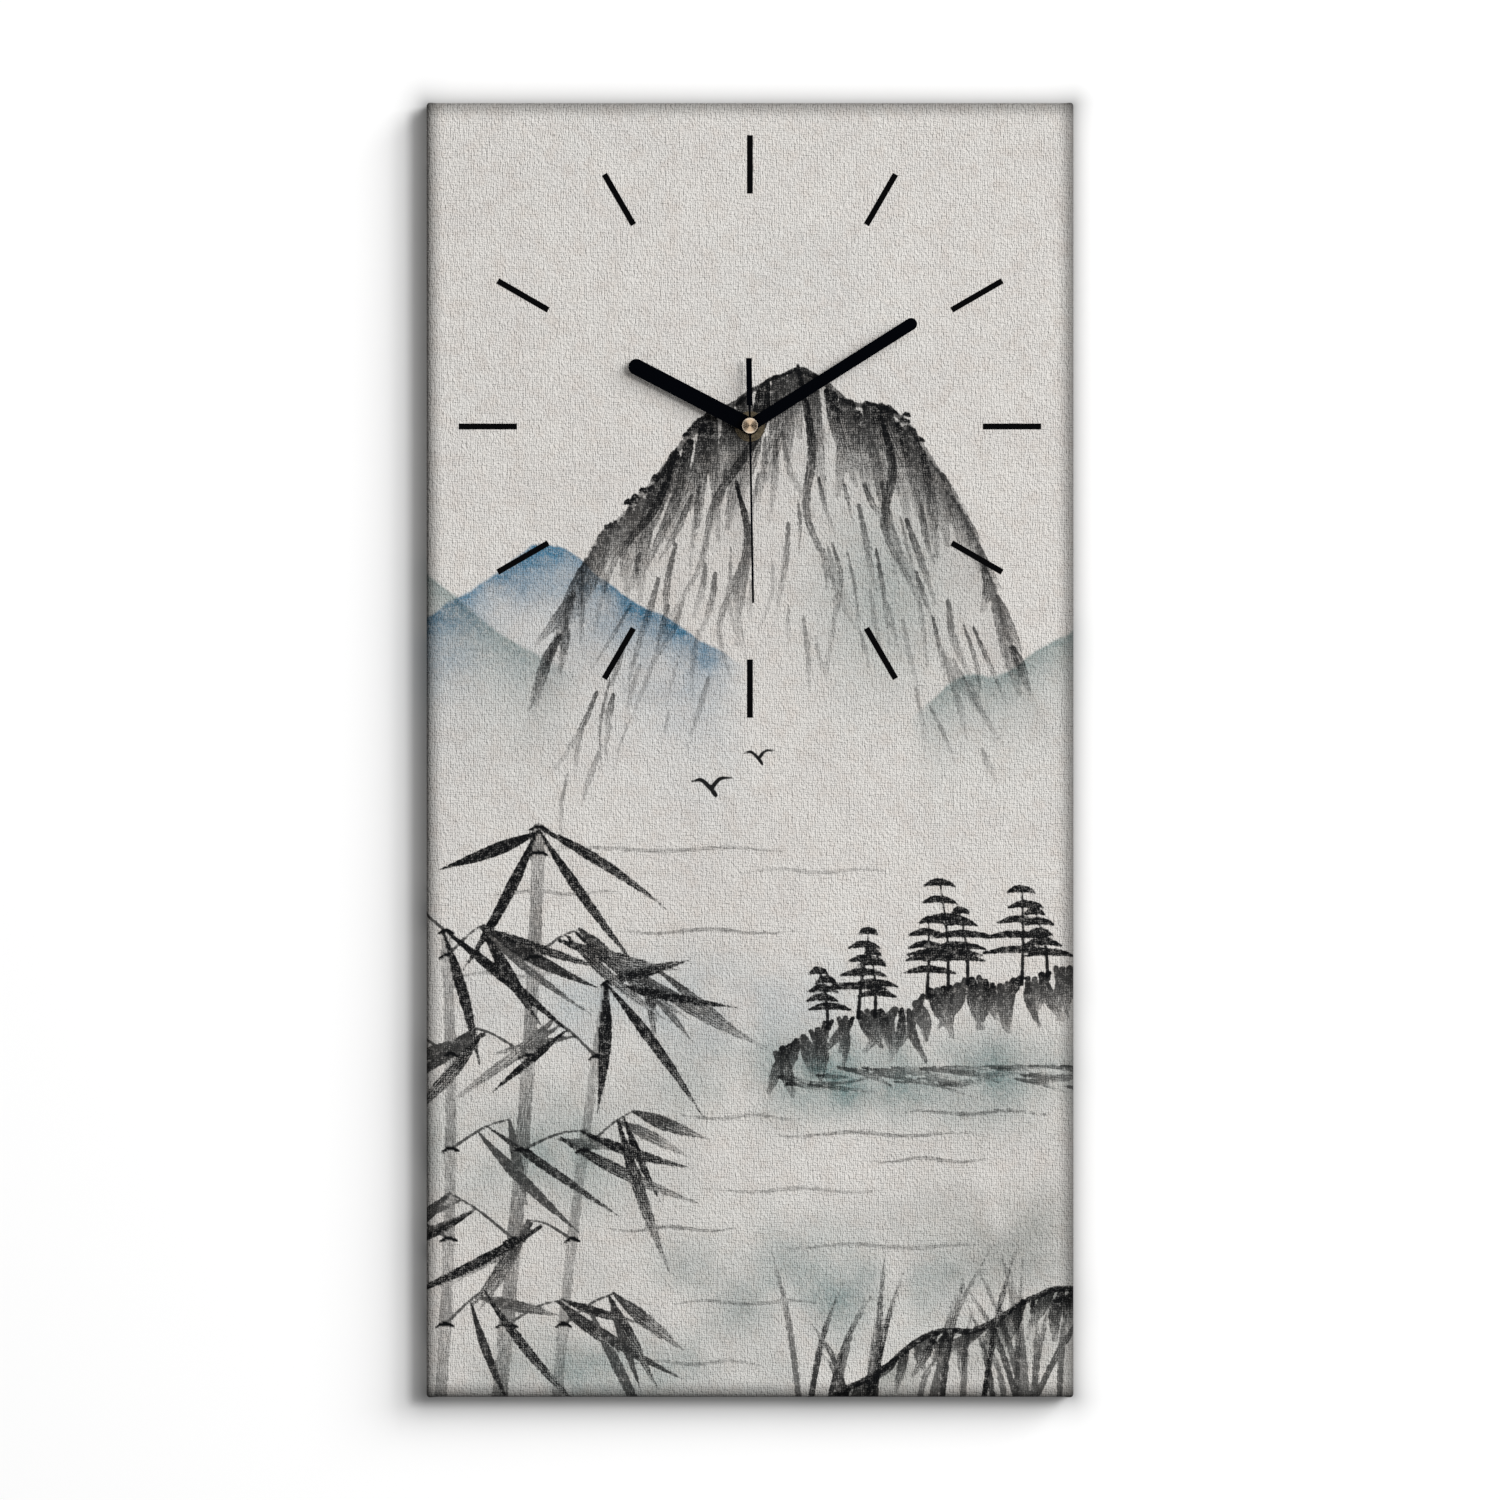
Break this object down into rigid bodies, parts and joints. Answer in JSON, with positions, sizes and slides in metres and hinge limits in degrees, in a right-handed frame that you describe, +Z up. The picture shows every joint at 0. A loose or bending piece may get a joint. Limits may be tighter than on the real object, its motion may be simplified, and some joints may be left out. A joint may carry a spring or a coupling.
{
  "type": "canvas wall clock",
  "caption": "Tall canvas wall clock: cloth stretched over a mitred pine frame, with a quartz movement and three turning hands near the top.",
  "frame": {"origin": "centre of the hanger's round keyhole, in the plane of the wall", "axes": "+Z up, +Y towards the wall, the dial faces -Y, +X to the viewer's right; the axis of the hands is 33 mm below the origin"},
  "size_m": [0.3, 0.0305, 0.6],
  "materials": {
    "printed_canvas": "matt primed cloth",
    "mark_paint": "satin black",
    "pine": "planed, unfinished",
    "staple_steel": "galvanised",
    "fibreboard": "smooth pressed board",
    "black_rubber": "matt",
    "fitting_brass": "turned",
    "case_plastic": "fine texture",
    "cover_plastic": "fine texture",
    "plate_plastic": "moulded",
    "battery_jacket": "printed foil",
    "contact_metal": "nickel plated",
    "board_green": "solder mask",
    "crystal_can": "drawn can",
    "soft_iron": "stamped",
    "bobbin_plastic": "moulded",
    "copper_wire": "enamelled",
    "magnet_black": "sintered",
    "gear_plastic": "moulded",
    "arbor_steel": "ground",
    "knob_plastic": "moulded",
    "hand_black": "satin black lacquer",
    "cap_brass": "spun finish"
  },
  "bodies": {
    "clock_body": {"canvas": "printed_canvas", "hour_marks": "mark_paint", "top_bar": "pine", "bottom_bar": "pine", "left_bar": "pine", "right_bar": "pine", "corner_staples": "staple_steel", "canvas_staples": "staple_steel", "backing_board": "fibreboard", "board_staples": "staple_steel", "rubber_washer": "black_rubber", "brass_washer": "fitting_brass", "hex_nut": "fitting_brass", "threaded_bush": "fitting_brass", "front_case": "case_plastic", "rear_cover": "cover_plastic", "middle_plate": "plate_plastic", "positive_contact": "contact_metal", "negative_contact": "contact_metal", "circuit_board": "board_green", "quartz_crystal": "crystal_can", "coil_core": "soft_iron", "coil_bobbin": "bobbin_plastic", "coil_winding": "copper_wire", "stator": "soft_iron", "stator_rivets": "fitting_brass"},
    "battery": {"battery": "battery_jacket"},
    "seconds": {"seconds_arbor": "arbor_steel", "seconds_wheel": "gear_plastic", "second_hand": "hand_black", "second_hand_cap": "cap_brass"},
    "rotor": {"rotor_magnet": "magnet_black", "rotor_pinion": "gear_plastic"},
    "fifth_wheel": {"fifth_wheel": "gear_plastic"},
    "third_wheel": {"third_wheel": "gear_plastic"},
    "centre_wheel": {"centre_wheel": "gear_plastic"},
    "minutes": {"minute_arbor": "arbor_steel", "minute_hand": "hand_black"},
    "setting_wheel": {"minute_wheel": "gear_plastic", "setting_knob": "knob_plastic"},
    "hours": {"hour_wheel": "gear_plastic", "hour_hand": "hand_black"}
  },
  "joints": [
    {"name": "battery_slide", "type": "slide", "parent": "clock_body", "child": "battery", "axis": [0, 1, 0], "range_m": [0, 0.03]},
    {"name": "second_hand_turn", "type": "hinge", "parent": "clock_body", "child": "seconds", "pos_m": [0, -0.01, -0.033], "axis": [0, 1, 0], "continuous": true},
    {"name": "rotor_turn", "type": "hinge", "parent": "clock_body", "child": "rotor", "pos_m": [0.00483, -0.01, -0.02067], "axis": [0, 1, 0], "continuous": true},
    {"name": "fifth_wheel_turn", "type": "hinge", "parent": "clock_body", "child": "fifth_wheel", "pos_m": [-0.00175, -0.01, -0.02306], "axis": [0, 1, 0], "continuous": true},
    {"name": "third_wheel_turn", "type": "hinge", "parent": "clock_body", "child": "third_wheel", "pos_m": [0.0102, -0.01, -0.033], "axis": [0, 1, 0], "continuous": true},
    {"name": "centre_wheel_turn", "type": "hinge", "parent": "clock_body", "child": "centre_wheel", "pos_m": [0, -0.01, -0.033], "axis": [0, 1, 0], "continuous": true},
    {"name": "minute_hand_turn", "type": "hinge", "parent": "clock_body", "child": "minutes", "pos_m": [0, -0.01, -0.033], "axis": [0, 1, 0], "continuous": true},
    {"name": "setting_knob_turn", "type": "hinge", "parent": "clock_body", "child": "setting_wheel", "pos_m": [-0.012, -0.01, -0.033], "axis": [0, 1, 0], "continuous": true},
    {"name": "hour_hand_turn", "type": "hinge", "parent": "clock_body", "child": "hours", "pos_m": [0, -0.01, -0.033], "axis": [0, 1, 0], "continuous": true}
  ],
  "couplings": [
    {"joint": "rotor_turn", "follows": "second_hand_turn", "ratio": 30},
    {"joint": "fifth_wheel_turn", "follows": "second_hand_turn", "ratio": -5},
    {"joint": "third_wheel_turn", "follows": "second_hand_turn", "ratio": -0.13333},
    {"joint": "centre_wheel_turn", "follows": "second_hand_turn", "ratio": 0.016667},
    {"joint": "setting_knob_turn", "follows": "minute_hand_turn", "ratio": -0.33333},
    {"joint": "hour_hand_turn", "follows": "minute_hand_turn", "ratio": 0.083333}
  ]
}
